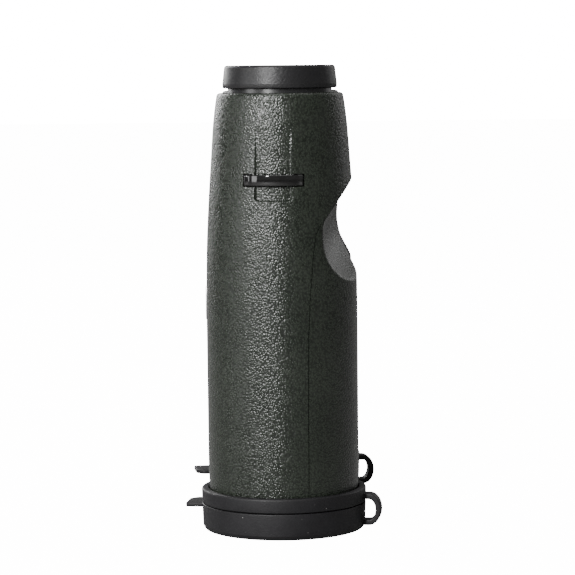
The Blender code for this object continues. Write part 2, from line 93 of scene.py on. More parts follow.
paper = bpy.data.materials.new("lit_paper")
paper.use_nodes = True
paper_shader = paper.node_tree.nodes["Principled BSDF"]
paper_shader.inputs["Base Color"].default_value = (0.30, 0.298, 0.295, 1)
paper_shader.inputs["Roughness"].default_value = 0.9
paper_shader.inputs["Specular IOR Level"].default_value = 0.1
paper_shader.inputs["Emission Color"].default_value = (1.0, 0.995, 0.99, 1)
paper_glow = seen_white(paper.node_tree, 0.0, 15.0)
paper.node_tree.links.new(paper_glow, paper_shader.inputs["Emission Strength"])

TABLE_REACH = 6.0
table_mesh = bmesh.new()
bmesh.ops.create_grid(table_mesh, x_segments=8, y_segments=8, size=TABLE_REACH)
table_data = bpy.data.meshes.new("paper_table")
table_mesh.to_mesh(table_data)
table_mesh.free()
table = bpy.data.objects.new("paper_table", table_data)
bpy.context.collection.objects.link(table)
table_data.materials.append(paper)

air = bpy.data.worlds.new("white_air")
bpy.context.scene.world = air
air.use_nodes = True
air_shader = air.node_tree.nodes["Background"]
air_shader.inputs["Color"].default_value = (1.0, 0.995, 0.99, 1)
air.node_tree.links.new(seen_white(air.node_tree, 0.26, 22.0), air_shader.inputs["Strength"])


def soft_box(name, place, target, width, height, power):
    lamp = bpy.data.lights.new(name, "AREA")
    lamp.shape = "RECTANGLE"
    lamp.size = width
    lamp.size_y = height
    lamp.energy = power
    box = bpy.data.objects.new(name, lamp)
    box.location = place
    box.rotation_euler = (Vector(target) - Vector(place)).to_track_quat("-Z", "Y").to_euler()
    bpy.context.collection.objects.link(box)
    return box


soft_box("key_box", (-0.50, -1.02, 0.55), (0, -0.04, 0.10), 0.10, 0.60, 27.0)
soft_box("side_box", (-1.30, -0.60, 0.35), (0, 0, 0.08), 0.50, 0.70, 6.3)
soft_box("rear_box", (-0.6, 0.9, 0.5), (0, 0, 0.08), 0.6, 0.7, 9.0)
soft_box("rear_box_right", (0.7, 0.8, 0.5), (0, 0, 0.08), 0.6, 0.7, 1.3)
soft_box("top_box", (0.0, 0.0, 1.2), (0, 0.0, 0), 0.8, 0.8, 6.0)

# ---------------------------------------------------------------------------
# The barrel castings: thin magnesium tubes, cast with the arms and knuckles of the
# folding bridge, machined in the bores, and painted dark grey.
# ---------------------------------------------------------------------------
SPACING = -2 * barrel_y
FOLD_X = -0.011
SIDES = {"left": -1, "right": 1}
GAP = 0.0003
FOLD = Vector((FOLD_X, SPACING / 2, 0))
REACH = FOLD.length
WEB_TURN = math.degrees(math.atan2(FOLD.y, FOLD.x))
WEB_WIDTH = 0.012
KNUCKLE = 0.0085
UPPER = {"left": [(0.1000, 0.1120), (0.1246, 0.1285)], "right": [(0.1123, 0.1243)]}
LOWER = {"left": [(0.0240, 0.0310), (0.0410, 0.0480)], "right": [(0.0313, 0.0407)]}
LOWER_ARM = (0.0240, 0.0480)
DRIVE_WIDTH = 0.0064
CHANNELS = {"left": (0.1015, 0.1105), "right": (0.1138, 0.1228)}
# The thumb recess is scooped by a leaning ellipsoid, under a flat slanted upper wall.
RECESS_CENTRE = np.array((0.0699, -0.0520, 0.1179))
RECESS_HALVES = np.array((0.0595, 0.1034, 0.0337))
RECESS_TURN = math.radians(11.6)
RECESS_LEAN = math.radians(32.3)
RECESS_TOP = (0.0180, 0.1093)
RECESS_SLOPE = 1.37
CLEAR_OF_ALL = 0.06
RECESS_AXES = np.array((
    (math.cos(RECESS_TURN) * math.cos(RECESS_LEAN), -math.sin(RECESS_TURN),
     -math.cos(RECESS_TURN) * math.sin(RECESS_LEAN)),
    (math.sin(RECESS_TURN) * math.cos(RECESS_LEAN), math.cos(RECESS_TURN),
     -math.sin(RECESS_TURN) * math.sin(RECESS_LEAN)),
    (math.sin(RECESS_LEAN), 0.0, math.cos(RECESS_LEAN)),
))
# The bores, the wall, and the inner face of the armour as radii at set heights.
PIN_BORE = 0.0033
SLEEVE_BORE = 0.0064
SPINDLE_BORE = 0.0022
CASTING_WALL = 0.0013
RECESS_SKIN = 0.0028
CORNER_POINTS = 6
INNER_Z = (0.0030, 0.0840, 0.0990, 0.1280, 0.1340, 0.1459)
INNER_R = (0.0232, 0.0231, 0.0213, 0.0194, 0.0187, 0.0187)


def add_piece(name, mesh):
    made = bpy.data.objects.new(name, mesh)
    bpy.context.collection.objects.link(made)
    return made


def from_bmesh(name, bm):
    bmesh.ops.recalc_face_normals(bm, faces=bm.faces)
    mesh = bpy.data.meshes.new(name)
    bm.to_mesh(mesh)
    bm.free()
    return add_piece(name, mesh)


def loft(name, low, high):
    """A solid between two matching polygons."""
    bm = bmesh.new()
    bottom = [bm.verts.new(p) for p in low]
    top = [bm.verts.new(p) for p in high]
    bm.faces.new(bottom)
    bm.faces.new(top)
    for k in range(len(low)):
        n = (k + 1) % len(low)
        bm.faces.new((bottom[k], bottom[n], top[n], top[k]))
    return from_bmesh(name, bm)


def plate(name, outline, low, high):
    """A flat outline raised between two heights."""
    return loft(name, [(x, y, low) for x, y in outline], [(x, y, high) for x, y in outline])


def block(name, x, y, z):
    return plate(name, [(x[0], y[0]), (x[1], y[0]), (x[1], y[1]), (x[0], y[1])], z[0], z[1])


def rounded(outline):
    """Round the corners of an outline whose points may carry a third number, the radius."""
    result = []
    count = len(outline)
    for i, point in enumerate(outline):
        radius = point[2] if len(point) > 2 else 0.0
        corner = np.array(point[:2])
        if radius <= 0:
            result.append(tuple(corner))
            continue
        before = np.array(outline[i - 1][:2]) - corner
        after = np.array(outline[(i + 1) % count][:2]) - corner
        before_length = np.linalg.norm(before)
        after_length = np.linalg.norm(after)
        before = before / before_length
        after = after / after_length
        half = math.acos(max(-1.0, min(1.0, float(before @ after)))) / 2
        back = min(radius / math.tan(half), 0.48 * before_length, 0.48 * after_length)
        start = corner + before * back
        end = corner + after * back
        for t in np.linspace(0, 1, CORNER_POINTS):
            result.append(tuple((1 - t) ** 2 * start + 2 * t * (1 - t) * corner + t * t * end))
    return result


def turned(name, outline, sides=128):
    """A lathe-turned solid from a closed outline of (radius, height, corner radius)."""
    bm = bmesh.new()
    rings = []
    for radius, height in rounded(outline):
        if radius < 1e-7:
            rings.append([bm.verts.new((0, 0, height))])
            continue
        circle = []
        for k in range(sides):
            a = math.tau * k / sides
            circle.append(bm.verts.new((radius * math.cos(a), radius * math.sin(a), height)))
        rings.append(circle)
    for i, low in enumerate(rings):
        high = rings[(i + 1) % len(rings)]
        if len(low) == 1 and len(high) == 1:
            continue
        for k in range(sides):
            n = (k + 1) % sides
            if len(low) == 1:
                bm.faces.new((low[0], high[n], high[k]))
            elif len(high) == 1:
                bm.faces.new((low[k], low[n], high[0]))
            else:
                bm.faces.new((low[k], low[n], high[n], high[k]))
    return from_bmesh(name, bm)


def rod(name, radius, low, high, sides=64):
    return turned(name, [(0, low), (radius, low), (radius, high), (0, high)], sides)


def move(piece, matrix):
    piece.data.transform(matrix)
    if matrix.to_3x3().determinant() < 0:
        piece.data.flip_normals()
    return piece


def turn(piece, degrees):
    return move(piece, Matrix.Rotation(math.radians(degrees), 4, "Z"))


def at_fold(piece):
    return move(piece, Matrix.Translation(FOLD))


def soften(piece, width, segments=3, angle=35.0):
    """Break the sharp edges of a solid."""
    step = piece.modifiers.new("edges", "BEVEL")
    step.width = width
    step.segments = segments
    step.limit_method = "ANGLE"
    step.angle_limit = math.radians(angle)
    step.use_clamp_overlap = True
    return settle(piece)


def settle(piece):
    """Apply the modifiers of a piece."""
    bpy.context.view_layer.update()
    graph = bpy.context.evaluated_depsgraph_get()
    result = bpy.data.meshes.new_from_object(piece.evaluated_get(graph))
    piece.modifiers.clear()
    old = piece.data
    piece.data = result
    bpy.data.meshes.remove(old)
    return piece


def combine(piece, tool, how, solver="MANIFOLD"):
    step = piece.modifiers.new(how, "BOOLEAN")
    step.operation = how
    step.solver = solver
    step.object = tool
    settle(piece)
    bpy.data.objects.remove(tool, do_unlink=True)
    return piece


def cut(piece, tool):
    return combine(piece, tool, "DIFFERENCE")


def join(piece, tool):
    return combine(piece, tool, "UNION")


def set_in_place(piece, side):
    """Move a piece made round the left barrel's axis to its own barrel."""
    sign = SIDES[side]
    if sign > 0:
        move(piece, Matrix.Scale(-1, 4, (0, 1, 0)))
    return move(piece, Matrix.Translation((0, sign * SPACING / 2, 0)))


def hand_over(piece, material, body, slot, *nodes, smooth=35.0):
    """Give a finished piece its material and its body, and hide the nodes that it stands for."""
    piece.data.materials.clear()
    piece.data.materials.append(material)
    piece.data.shade_smooth()
    piece.data.set_sharp_from_angle(angle=math.radians(smooth))
    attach(piece, body)
    if nodes:
        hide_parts(*nodes)
    return piece


def spread(*spans):
    """Values spaced as each (start, end, step) asks, with the last end left out."""
    values = []
    for start, end, step in spans:
        count = max(1, round((end - start) / step))
        values.extend(np.linspace(start, end, count, endpoint=False))
    return np.array(values)


def soft_min(a, b, reach):
    """The smaller of two radii, with the ridge between them rounded."""
    h = np.clip(0.5 + 0.5 * (b - a) / reach, 0, 1)
    return b * (1 - h) + a * h - reach * h * (1 - h)


def ring(radius, turns, height):
    """Points round the axis at one height, with a radius for each direction."""
    return np.stack((radius * np.cos(turns), radius * np.sin(turns), np.full_like(turns, height)), -1)


def scoop_distance(turns, heights, grow):
    """How far from the barrel's axis the thumb recess begins, in each direction."""
    halves = RECESS_HALVES + grow
    direction = ring(1.0, turns, 0.0) @ RECESS_AXES / halves
    start = np.stack((np.zeros_like(turns), np.zeros_like(turns), heights), -1) - RECESS_CENTRE
    start = start @ RECESS_AXES / halves
    a = (direction * direction).sum(-1)
    b = (direction * start).sum(-1)
    c = (start * start).sum(-1) - 1
    inside = b * b - a * c
    hit = (inside > 0) & (b < 0)
    bowl = np.where(hit, (-b - np.sqrt(np.maximum(inside, 0))) / a, CLEAR_OF_ALL)
    offset = RECESS_TOP[0] + (heights - RECESS_TOP[1]) / RECESS_SLOPE - grow / math.sin(math.atan(RECESS_SLOPE))
    facing = np.cos(turns)
    wall = np.where(facing > 0.02, offset / np.maximum(facing, 0.02), CLEAR_OF_ALL)
    return -soft_min(-bowl, -wall, 0.0009)


def wall_of(name, rings):
    """A closed skin over rings of points, the last ring joined back to the first."""
    across = len(rings[0])
    faces = []
    for i in range(len(rings)):
        j = (i + 1) % len(rings)
        for k in range(across):
            n = (k + 1) % across
            faces.append((i * across + k, i * across + n, j * across + n, j * across + k))
    mesh = bpy.data.meshes.new(name)
    mesh.from_pydata(np.concatenate(rings).tolist(), [], faces)
    mesh.update()
    return add_piece(name, mesh)


def skin(name, outside, inside, turns, rows_out, rows_in):
    """A closed wall between two radius functions of direction and height."""
    rings = []
    for rows, radius in ((rows_out, outside), (rows_in[::-1], inside)):
        for height in rows:
            rings.append(ring(radius(turns, np.full_like(turns, height)), turns, height))
    return wall_of(name, rings)


def arm(name, width, start, low, high, end=REACH):
    return turn(block(name, (start, end), (-width / 2, width / 2), (low, high)), WEB_TURN)


def noise(nodes, links, place, scale, detail=3.0, rough=0.55):
    made = nodes.new("ShaderNodeTexNoise")
    made.inputs["Scale"].default_value = scale
    made.inputs["Detail"].default_value = detail
    made.inputs["Roughness"].default_value = rough
    links.new(place, made.inputs["Vector"])
    return made.outputs["Fac"]


def spread_to(nodes, links, value, low, high, new_low, new_high):
    """Map a value from one range to another."""
    made = nodes.new("ShaderNodeMapRange")
    made.inputs["From Min"].default_value = low
    made.inputs["From Max"].default_value = high
    made.inputs["To Min"].default_value = new_low
    made.inputs["To Max"].default_value = new_high
    links.new(value, made.inputs["Value"])
    return made.outputs["Result"]


def finish(name, dark, light, rough, metal=0.0, grain=3000.0, depth=0.00002, tone=120.0, gloss=0.5):
    """A surface with drifting colour, uneven gloss and a fine raised grain."""
    material = bpy.data.materials.new(name)
    material.use_nodes = True
    nodes = material.node_tree.nodes
    links = material.node_tree.links
    shader = nodes["Principled BSDF"]
    place = nodes.new("ShaderNodeTexCoord").outputs["Object"]
    drift = noise(nodes, links, place, tone)
    mix = nodes.new("ShaderNodeMix")
    mix.data_type = "RGBA"
    mix.inputs["A"].default_value = (*dark, 1)
    mix.inputs["B"].default_value = (*light, 1)
    links.new(spread_to(nodes, links, drift, 0.3, 0.7, 0.0, 1.0), mix.inputs["Factor"])
    links.new(mix.outputs["Result"], shader.inputs["Base Color"])
    wear = noise(nodes, links, place, tone * 4)
    links.new(spread_to(nodes, links, wear, 0.3, 0.7, rough[0], rough[1]), shader.inputs["Roughness"])
    shader.inputs["Metallic"].default_value = metal
    shader.inputs["Specular IOR Level"].default_value = gloss
    bump = nodes.new("ShaderNodeBump")
    bump.inputs["Strength"].default_value = 0.6
    bump.inputs["Distance"].default_value = depth
    links.new(noise(nodes, links, place, grain, 2.0), bump.inputs["Height"])
    links.new(bump.outputs["Normal"], shader.inputs["Normal"])
    return material


cast_paint = finish("cast_paint", (0.020, 0.021, 0.022), (0.034, 0.035, 0.036), (0.42, 0.56),
                    metal=0.35, grain=2600, depth=0.00003)


def casting_wall(inset, grow):
    """A face of the casting: so far in from the armour, and so far behind the recess."""
    def radius(turns, heights):
        wall = np.interp(heights, INNER_Z, INNER_R) - inset
        return soft_min(wall, scoop_distance(turns, heights, grow), 0.0008)
    return radius


for side in SIDES:
    turns = np.radians(spread((-180, 180, 3.0)))
    heights = np.append(spread((0.0036, 0.080, 0.006), (0.080, 0.1274, 0.0015)), 0.1274)
    upper = np.append(spread((0.1274, 0.1445, 0.003)), 0.1445)
    rows = np.concatenate((heights, upper[1:]))
    outside = casting_wall(GAP, RECESS_SKIN + GAP)
    inside = casting_wall(GAP + CASTING_WALL, RECESS_SKIN + GAP + CASTING_WALL)
    casting = skin("casting_" + side, outside, inside, turns, rows, rows)
    shelf = turned("shelf", [(0.0152, 0.1275), (0.0188, 0.1275), (0.0183, 0.1325), (0.0152, 0.1325)], 96)
    join(casting, shelf)
    for low, high in UPPER[side] + [LOWER_ARM]:
        start = float(np.interp((low + high) / 2, INNER_Z, INNER_R)) - GAP - 0.0010
        start = math.sqrt(start**2 - (WEB_WIDTH / 2) ** 2) + 0.0002
        join(casting, soften(arm("arm", WEB_WIDTH, start, low, high), 0.0010))
    for low, high in UPPER[side]:
        knuckle = [(0, low), (KNUCKLE, low, 0.0006), (KNUCKLE, high, 0.0006), (0, high)]
        join(casting, at_fold(turned("knuckle", knuckle, 64)))
    # Make room between this casting's lower knuckles for those of the other one.
    other = "right" if side == "left" else "left"
    clear = KNUCKLE + 0.0004
    free = [(low - GAP, high + GAP) for low, high in LOWER[other]]
    if side == "right":
        free = [(0.0230, LOWER["right"][0][0]), (LOWER["right"][0][1], 0.0490)]
    for low, high in free:
        cut(casting, at_fold(rod("clear", clear, low, high)))
    for low, high in LOWER[side]:
        knuckle = [(0, low), (KNUCKLE, low, 0.0005), (KNUCKLE, high, 0.0005), (0, high)]
        join(casting, at_fold(turned("knuckle", knuckle, 64)))
    cut(casting, at_fold(rod("bore", PIN_BORE, 0.015, 0.060, 32)))
    cut(casting, arm("channel", DRIVE_WIDTH, 0.0150, *CHANNELS[side]))
    low, high = UPPER[side][0]
    cut(casting, at_fold(rod("bore", SLEEVE_BORE, low - 0.0005, high + 0.0005, 48)))
    if side == "left":
        cut(casting, at_fold(rod("bore", SPINDLE_BORE, 0.120, 0.130, 32)))
    set_in_place(casting, side)
    hand_over(casting, cast_paint, side + "_barrel", "housing_metal", "housing_" + side)

# ---------------------------------------------------------------------------
# The objectives: two-element lenses of coated glass, held in a blackened metal cell
# that screws into the mouth of each casting.
# ---------------------------------------------------------------------------
black_metal = finish("blackened_metal", (0.010, 0.010, 0.011), (0.022, 0.022, 0.023), (0.35, 0.5),
                     metal=0.6, grain=4200, depth=0.00001)


def coated_glass(name, tint, film):
    """Clear glass with a faint reflective film and a trace of dust."""
    material = finish(name, tint, tint, (0.005, 0.03), grain=900, depth=0.0000002, tone=400)
    shader = material.node_tree.nodes["Principled BSDF"]
    shader.inputs["Transmission Weight"].default_value = 1.0
    shader.inputs["IOR"].default_value = 1.52
    shader.inputs["Coat Weight"].default_value = 0.35
    shader.inputs["Coat Roughness"].default_value = 0.02
    shader.inputs["Coat Tint"].default_value = (*film, 1)
    return material


objective_glass = coated_glass("objective_glass", (0.90, 0.97, 0.95), (0.45, 0.85, 0.65))
eye_glass = coated_glass("eyepiece_glass", (0.93, 0.95, 0.98), (0.60, 0.50, 0.90))


def lens_outline(radius, low, high, bulge_low, bulge_high):
    steps = 10
    lower = [(radius * k / steps, low - bulge_low * (1 - (k / steps) ** 2)) for k in range(steps + 1)]
    upper = [(radius * k / steps, high + bulge_high * (1 - (k / steps) ** 2)) for k in range(steps, -1, -1)]
    return lower + upper


for side in SIDES:
    cell = turned("objective_bezel_" + side, [
        (0.0188, 0.0080, 0.0003), (0.0215, 0.0080, 0.0004), (0.0215, 0.0240, 0.0002),
        (0.0200, 0.0240, 0.0002), (0.0200, 0.0232), (0.0206, 0.0232), (0.0206, 0.0110),
        (0.0188, 0.0098, 0.0003),
    ])
    hand_over(set_in_place(cell, side), black_metal, side + "_barrel", "metal_black", "objective_cell_" + side)
    front = turned("objective_glass_" + side, lens_outline(0.0203, 0.0128, 0.0160, 0.0014, 0.0010))
    hand_over(set_in_place(front, side), objective_glass, side + "_barrel", "optical_glass",
              "objective_front_" + side)

# ---------------------------------------------------------------------------
# The hidden optics: rear objective elements, focusing lenses in black cells on turned
# brass carriers, and the prism pairs cemented into blackened frames.
# ---------------------------------------------------------------------------
brass = finish("turned_brass", (0.48, 0.34, 0.14), (0.62, 0.46, 0.22), (0.28, 0.42),
               metal=1.0, grain=3600, depth=0.00001)
prism_glass = coated_glass("prism_glass", (0.94, 0.97, 0.96), (0.80, 0.80, 0.80))
hidden_finishes = {
    "objective_rear": objective_glass,
    "focus_carrier": brass,
    "focus_cell": black_metal,
    "focus_lens": objective_glass,
    "prism_frame": black_metal,
    "prism_lower": prism_glass,
    "prism_roof": prism_glass,
    "eyecup_glide": brass,
    "field_lens": eye_glass,
}
for part, material in hidden_finishes.items():
    for side in SIDES:
        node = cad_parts[part + "_" + side]
        for held in node.material_slots:
            held.material = material

# ---------------------------------------------------------------------------
# The eyepieces: blackened tubes seated on a shelf in the casting, with the eye lens
# just below the rim where the eyecup surrounds it.
# ---------------------------------------------------------------------------
for side in SIDES:
    tube = turned("eyepiece_barrel_" + side, [
        (0.0113, 0.1240), (0.0149, 0.1240, 0.0003), (0.0149, 0.1328), (0.0169, 0.1328),
        (0.0169, 0.1341), (0.0149, 0.1341), (0.0149, 0.1480, 0.0004), (0.0137, 0.1480, 0.0003),
        (0.0125, 0.1468, 0.0002), (0.0125, 0.1432), (0.0113, 0.1432),
    ])
    hand_over(set_in_place(tube, side), black_metal, side + "_barrel", "metal_black", "eyepiece_tube_" + side)
    eye = turned("eye_glass_" + side, lens_outline(0.0122, 0.1437, 0.1462, 0.0004, 0.0014))
    hand_over(set_in_place(eye, side), eye_glass, side + "_barrel", "optical_glass", "eye_lens_" + side)

# ---------------------------------------------------------------------------
# The armour: dark green rubber moulded over each casting with a pebbled leather grain.
# A seam runs up the barrel to the thumb recess, where the inner panel begins.
# ---------------------------------------------------------------------------
OUTER_Z = (0.0030, 0.0086, 0.0150, 0.0210, 0.0720, 0.0850, 0.0973, 0.1076, 0.1160, 0.1233, 0.1286, 0.1339,
           0.1393, 0.1420, 0.1447, 0.1530)
OUTER_R = (0.0246, 0.0248, 0.0250, 0.02525, 0.0253, 0.0252, 0.0249, 0.0243, 0.0238, 0.0232, 0.0229, 0.0225,
           0.0220, 0.0217, 0.0212, 0.0196)
ARMOUR_FOOT = 0.0030
ARMOUR_TOP = 0.1459
EDGE = 0.0010
LUG_TURN = math.radians(-96.0)
LUG_HEIGHT = 0.1177
LUG_WIDTH = 0.0194
LUG_DEPTH = 0.0036
FOOT_START = 0.0068
SLOT_HALF = 0.0062
CHANNEL_LOW = 0.1111
CHANNEL_HIGH = 0.1350
CHANNEL_DEPTH = 0.0012
CHANNEL_CORNER = 0.0014
SEAM = ((0.0, 0.0), (0.0600, 0.0), (0.0800, 0.0011), (0.0930, 0.0023), (0.1000, 0.0036), (0.1034, 0.0056))
SEAM_FRONT = -70.5
SEAM_BACK = 86.0
SEAM_GAP = 0.00022
PANEL_TOP = 0.1015
BEND = 0.0245
CUT_IN = 0.008
CUT_OUT = 0.040
CUT_FOOT = -0.001
BED_FLOOR = 0.0217
POCKET_FLOOR = 0.0192
PEBBLES = 1550.0
PEBBLE_HEIGHT = 0.00014


def smooth_step(value, low, high):
    t = np.clip((value - low) / (high - low), 0, 1)
    return t * t * (3 - 2 * t)


def armour_face(turns, heights):
    """Radius of the armour's outer face."""
    wall = np.zeros_like(turns)
    steps = np.linspace(-0.0045, 0.0045, 7)
    for step in steps:
        wall += np.interp(heights + step, OUTER_Z, OUTER_R) / len(steps)
    edge = np.clip((heights - (ARMOUR_TOP - EDGE)) / EDGE, 0, 1)
    wall -= EDGE * (1 - np.sqrt(1 - edge**2)) * 0.85
    face = soft_min(wall, scoop_distance(turns, heights, 0.0), 0.0005)
    swing = turns - LUG_TURN
    across = face * np.sin(swing)
    rise = np.clip((heights - CHANNEL_LOW) / (CHANNEL_HIGH - CHANNEL_LOW), 0, 1)
    depth = CHANNEL_DEPTH * (1 - rise) ** 0.8
    dx = np.abs(across) - (SLOT_HALF - 0.0005 * rise - CHANNEL_CORNER)
    dz = CHANNEL_LOW + CHANNEL_CORNER - heights
    outside = np.hypot(np.maximum(dx, 0), np.maximum(dz, 0)) + np.minimum(np.maximum(dx, dz), 0)
    outside -= CHANNEL_CORNER
    share = 1 - smooth_step(outside, -0.00020, 0.00020)
    share = np.where((np.cos(swing) > 0.5) & (heights < CHANNEL_HIGH), share, 0)
    return face - share * depth


def armour_back(turns, heights):
    """Radius of the armour's inner face, where it clings to the casting."""
    wall = np.interp(heights, INNER_Z, INNER_R)
    return soft_min(wall, scoop_distance(turns, heights, RECESS_SKIN), 0.0008)


def panel_cutter(name, slack):
    """A block round the barrel that ends along the seam and the rim of the thumb recess."""
    edge = [(math.radians(SEAM_FRONT), 0.0)]
    for (low, start), (high, drift) in zip(SEAM, SEAM[1:]):
        for t in np.linspace(0, 1, 5)[1:]:
            shift = math.asin((start + (drift - start) * t) / BEND)
            edge.append((math.radians(SEAM_FRONT) + shift, low + (high - low) * t))
    levels = np.linspace(0.080, 0.126, 231)
    for turned_by in np.radians(np.arange(-56.0, 62.0, 1.0)):
        at = np.full_like(levels, turned_by)
        wall = np.interp(levels, OUTER_Z, OUTER_R)
        scooped = levels[scoop_distance(at, levels, 0.0) < wall - 0.00005]
        if len(scooped) and scooped[-1] > SEAM[-1][1] - 0.002:
            edge.append((turned_by, float(scooped[-1])))
    edge += [(math.radians(a), PANEL_TOP) for a in np.linspace(66, SEAM_BACK, 5)]
    edge.append((math.radians(SEAM_BACK), 0.0))
    flat = np.array(edge) * (BEND, 1.0)
    before = flat - np.roll(flat, 1, axis=0)
    after = np.roll(flat, -1, axis=0) - flat
    before /= np.linalg.norm(before, axis=1, keepdims=True)
    after /= np.linalg.norm(after, axis=1, keepdims=True)
    along = before + after
    along /= np.linalg.norm(along, axis=1, keepdims=True)
    flat += slack * np.stack((-along[:, 1], along[:, 0]), -1)
    bm = bmesh.new()
    columns = []
    reached = -math.pi
    for across, top in flat[1:-1]:
        a = across / BEND
        if a <= reached + 1e-4:
            continue
        reached = a
        corners = ((CUT_IN, CUT_FOOT), (CUT_OUT, CUT_FOOT), (CUT_OUT, top), (CUT_IN, top))
        columns.append([bm.verts.new((r * math.cos(a), r * math.sin(a), z)) for r, z in corners])
    bm.faces.new(columns[0])
    bm.faces.new(columns[-1])
    for left, right in zip(columns, columns[1:]):
        for k in range(4):
            n = (k + 1) % 4
            bm.faces.new((left[k], left[n], right[n], right[k]))
    return from_bmesh(name, bm)


def pebbled_rubber(name):
    """Green rubber with a fine leather grain: small irregular pebbles between creases, with painted shade in the
    creases.
    """
    material = finish(name, (0.0125, 0.0165, 0.0115), (0.0180, 0.0225, 0.0165), (0.24, 0.32),
                      grain=5200, depth=0.00001, tone=60, gloss=0.42)
    nodes = material.node_tree.nodes
    links = material.node_tree.links
    shader = nodes["Principled BSDF"]
    place = nodes["Texture Coordinate"].outputs["Object"]
    stir = nodes.new("ShaderNodeTexNoise")
    stir.inputs["Scale"].default_value = 1100.0
    stir.inputs["Detail"].default_value = 2.0
    links.new(place, stir.inputs["Vector"])
    shift = nodes.new("ShaderNodeVectorMath")
    shift.operation = "MULTIPLY_ADD"
    shift.inputs[1].default_value = (0.0002, 0.0002, 0.0002)
    links.new(stir.outputs["Color"], shift.inputs[0])
    links.new(place, shift.inputs[2])
    cells = nodes.new("ShaderNodeTexVoronoi")
    cells.feature = "SMOOTH_F1"
    cells.inputs["Scale"].default_value = PEBBLES
    cells.inputs["Smoothness"].default_value = 0.35
    links.new(shift.outputs[0], cells.inputs["Vector"])
    pebble = spread_to(nodes, links, cells.outputs["Distance"], 0.0, 0.75, 1.0, 0.0)
    coarse = nodes.new("ShaderNodeBump")
    coarse.inputs["Strength"].default_value = 1.0
    coarse.inputs["Distance"].default_value = PEBBLE_HEIGHT
    links.new(pebble, coarse.inputs["Height"])
    fine = nodes["Bump"]
    links.new(coarse.outputs["Normal"], fine.inputs["Normal"])
    mix = nodes["Mix"]
    # Painted shade and painted highlight: the base colour is darkened in the creases between the pebbles and
    # lightened a little on their tops.
    painted_crease_shade = nodes.new("ShaderNodeMix")
    painted_crease_shade.data_type = "RGBA"
    painted_crease_shade.blend_type = "MULTIPLY"
    painted_crease_shade.inputs["Factor"].default_value = 1.0
    crease_shade_level = spread_to(nodes, links, pebble, 0.1, 0.6, 0.45, 1.1)
    links.new(mix.outputs["Result"], painted_crease_shade.inputs["A"])
    links.new(crease_shade_level, painted_crease_shade.inputs["B"])
    links.new(painted_crease_shade.outputs["Result"], shader.inputs["Base Color"])
    return material


green_armour = pebbled_rubber("green_armour")

for side in SIDES:
    turns = np.radians(spread((-128, -64, 0.6), (-64, 66, 1.5), (66, 232, 3.2)))
    rows_out = np.append(spread((ARMOUR_FOOT, 0.079, 0.0016), (0.079, 0.105, 0.00065), (0.105, 0.1355, 0.00025),
                                (0.1355, 0.1440, 0.0009), (0.1440, ARMOUR_TOP, 0.00016)), ARMOUR_TOP)
    rows_in = np.append(spread((ARMOUR_FOOT, 0.080, 0.006), (0.080, ARMOUR_TOP, 0.0022)), ARMOUR_TOP)
    wrap = skin("armour_outer_" + side, armour_face, armour_back, turns, rows_out, rows_in)
    panel = add_piece("armour_inner_" + side, wrap.data.copy())
    combine(panel, panel_cutter("region", 0.0), "INTERSECT")
    cut(wrap, panel_cutter("region", SEAM_GAP))
    half = LUG_WIDTH / 2 + GAP
    tall = LUG_DEPTH / 2 + GAP
    span = (LUG_HEIGHT - tall, LUG_HEIGHT + tall)
    degrees = math.degrees(LUG_TURN)
    cut(wrap, turn(block("bed", (BED_FLOOR, CUT_OUT), (-half, half), span), degrees))
    for foot in ((-half, -FOOT_START), (FOOT_START, half)):
        cut(wrap, turn(block("pocket", (POCKET_FLOOR, CUT_OUT), foot, span), degrees))
    for low, high in UPPER[side] + [LOWER_ARM]:
        cut(wrap, arm("slot", WEB_WIDTH + 2 * GAP, 0.015, low - GAP, high + GAP, 0.030))
    for piece, node in ((wrap, "armour_wrap_"), (panel, "armour_panel_")):
        set_in_place(piece, side)
        hand_over(piece, green_armour, side + "_barrel", "armour_green", node + side, smooth=50.0)

# ---------------------------------------------------------------------------
# The strap bars: steel bars bowed away from the barrel and lacquered gloss black, with
# a square foot at each end let into the armour and screwed to the casting.
# ---------------------------------------------------------------------------
lug_lacquer = finish("black_lacquer", (0.004, 0.004, 0.004), (0.008, 0.008, 0.008), (0.05, 0.10),
                     grain=1200, depth=0.00002, tone=200, gloss=0.6)

BAR_POINTS = 37
BAR_SEAT = 0.0223
BAR_RISE = 0.0029
BAR_BELLY = 0.0221
BELLY_RISE = 0.0011
FOOT_BASE = 0.0196
BOW_SHARE = 0.84

for side in SIDES:
    half = LUG_WIDTH / 2
    slot = SLOT_HALF + 0.0008
    outline = []
    for t in np.linspace(-1, 1, BAR_POINTS):
        outline.append((BAR_SEAT + BAR_RISE * max(0.0, 1 - (t / BOW_SHARE) ** 2) ** 0.8, half * t))
    outline += [(FOOT_BASE, half), (FOOT_BASE, slot)]
    for t in np.linspace(1, -1, BAR_POINTS):
        outline.append((BAR_BELLY + BELLY_RISE * (1 - t * t), slot * t))
    outline += [(FOOT_BASE, -slot), (FOOT_BASE, -half)]
    bar = plate("strap_lug_" + side, outline, LUG_HEIGHT - LUG_DEPTH / 2, LUG_HEIGHT + LUG_DEPTH / 2)
    soften(bar, 0.0011, 5, 50)
    set_in_place(turn(bar, math.degrees(LUG_TURN)), side)
    hand_over(bar, lug_lacquer, side + "_barrel", "lug_black", "strap_bar_" + side)

# ---------------------------------------------------------------------------
# The eyecups: smooth black sleeves that climb on the eyepiece as they are twisted, with
# a soft grained rubber cup stretched over the top of each.
# ---------------------------------------------------------------------------
sleeve_black = finish("sleeve_black", (0.012, 0.012, 0.013), (0.018, 0.018, 0.019), (0.22, 0.32),
                      grain=3800, depth=0.000004)
cup_rubber = finish("cup_rubber", (0.008, 0.008, 0.0085), (0.013, 0.0125, 0.0135), (0.36, 0.46),
                    grain=1900, depth=0.00016, tone=90, gloss=0.30)

